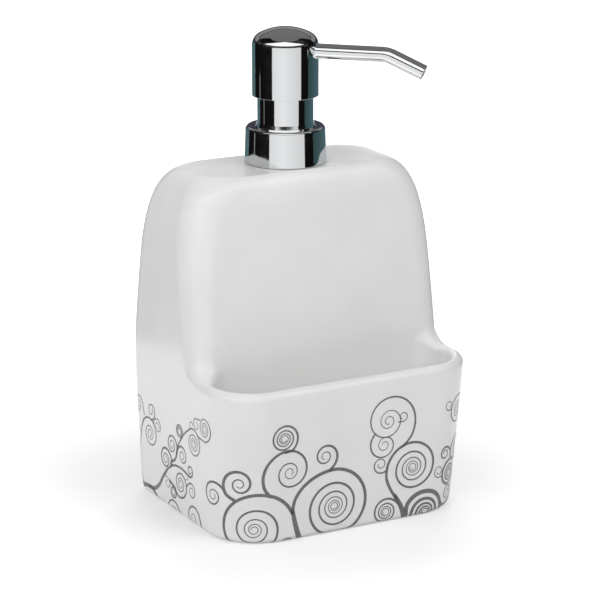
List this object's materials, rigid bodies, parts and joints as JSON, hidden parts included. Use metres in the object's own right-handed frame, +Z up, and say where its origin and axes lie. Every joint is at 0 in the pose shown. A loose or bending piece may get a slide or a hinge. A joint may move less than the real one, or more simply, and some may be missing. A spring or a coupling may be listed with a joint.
{
  "type": "soap dispenser",
  "caption": "Glazed ceramic countertop soap dispenser with an open sponge pocket in front and a chrome lotion pump with a turning spout.",
  "frame": {"origin": "on the surface that it stands on, under the middle of the ceramic body", "axes": "+Z up, -Y the front with the sponge pocket, +X to the right as seen from the front"},
  "size_m": [0.1108, 0.0899, 0.1859],
  "materials": {
    "ceramic_glaze": "glossy glaze",
    "chrome_metal": "polished",
    "white_plastic": "moulded",
    "clear_plastic": "moulded",
    "seal_rubber": "matte",
    "ball_steel": "bright",
    "spring_steel": "bright"
  },
  "bodies": {
    "dispenser": {"ceramic_body": "ceramic_glaze", "neck_insert": "white_plastic"},
    "pump": {"pump_cylinder": "white_plastic", "stem_guide": "white_plastic", "stem_wiper": "seal_rubber", "neck_gasket": "seal_rubber", "dip_tube": "clear_plastic", "ball_cage": "white_plastic", "return_spring": "spring_steel"},
    "closure": {"closure_cap": "white_plastic", "collar_shell": "chrome_metal", "guide_sleeve": "chrome_metal"},
    "plunger": {"piston_seal": "seal_rubber"},
    "head": {"piston_stem": "white_plastic", "actuator_core": "white_plastic", "head_shell": "chrome_metal", "spout_tube": "chrome_metal", "spout_liner": "white_plastic"},
    "inlet_valve": {"inlet_ball": "ball_steel"},
    "outlet_valve": {"outlet_ball": "ball_steel"}
  },
  "joints": [
    {"name": "pump_lift", "type": "slide", "parent": "dispenser", "child": "pump", "axis": [0, 0, 1], "range_m": [0, 0.135]},
    {"name": "closure_turn", "type": "hinge", "parent": "pump", "child": "closure", "pos_m": [0, 0.0133, 0.14], "axis": [0, 0, 1], "range_deg": [0, 360]},
    {"name": "plunge", "type": "slide", "parent": "pump", "child": "plunger", "axis": [0, 0, -1], "range_m": [0, 0.01], "stiffness_N_per_m": 500, "springref_m": -0.006, "deforming": ["return_spring"]},
    {"name": "head_turn", "type": "hinge", "parent": "plunger", "child": "head", "pos_m": [0, 0.0133, 0.14], "axis": [0, 0, 1], "continuous": true},
    {"name": "inlet_lift", "type": "slide", "parent": "pump", "child": "inlet_valve", "axis": [0, 0, 1], "range_m": [0, 0.0017]},
    {"name": "outlet_lift", "type": "slide", "parent": "head", "child": "outlet_valve", "axis": [0, 0, 1], "range_m": [0, 0.001]}
  ]
}
